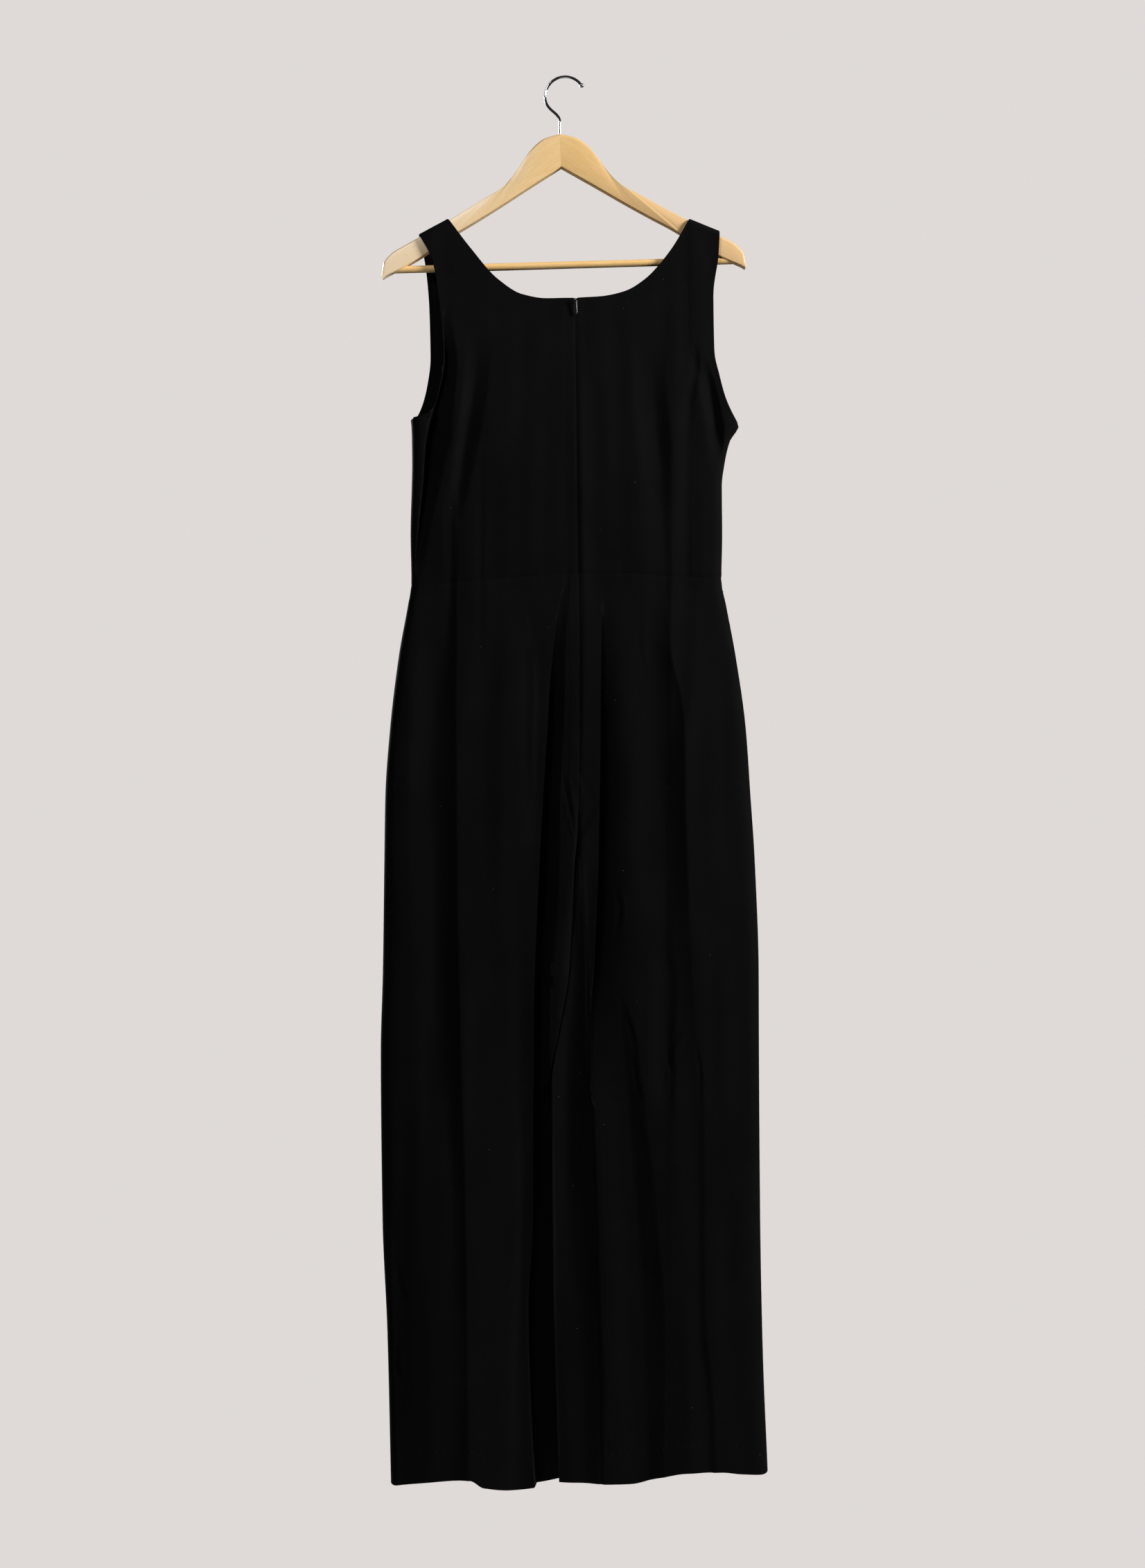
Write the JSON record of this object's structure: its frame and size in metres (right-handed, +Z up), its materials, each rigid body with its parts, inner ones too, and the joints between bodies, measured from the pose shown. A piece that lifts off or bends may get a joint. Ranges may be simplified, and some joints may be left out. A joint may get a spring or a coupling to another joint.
{
  "type": "sleeveless jumpsuit on a wooden hanger",
  "caption": "Sleeveless jumpsuit with a scooped neck, a waist seam, wide straight legs and a zip at centre back, hanging flat on a wooden hanger with a trouser bar.",
  "frame": {"origin": "inner top of the hanger's hook, where a rail bears", "axes": "+Z up, -Y out of the garment's back where the zip is, +X to the right as that back is looked at"},
  "size_m": [0.4724, 0.064, 1.7236],
  "materials": {
    "crepe": "smooth matte black crepe",
    "tape": "woven black zip tape",
    "zip_metal": "black lacquered metal",
    "wood": "satin lacquered beech",
    "bar_wood": "satin lacquered beech, turned",
    "wire": "polished chrome plate"
  },
  "bodies": {
    "garment": {"back_bodice_left": "crepe", "back_bodice_right": "crepe", "front_bodice": "crepe", "back_leg_left": "crepe", "back_leg_right": "crepe", "front_leg_left": "crepe", "front_leg_right": "crepe", "zip_tape_left": "tape", "zip_tape_right": "tape", "zip_slider": "zip_metal", "hanger_arm_left": "wood", "hanger_arm_right": "wood", "hanger_bar": "bar_wood", "hanger_hook": "wire"},
    "pull": {"zip_pull": "zip_metal"}
  },
  "joints": [
    {"name": "pull_swing", "type": "hinge", "parent": "garment", "child": "pull", "pos_m": [0.0125, -0.0168, -0.2755], "axis": [-1, 0, 0], "range_deg": [0, 165]}
  ]
}
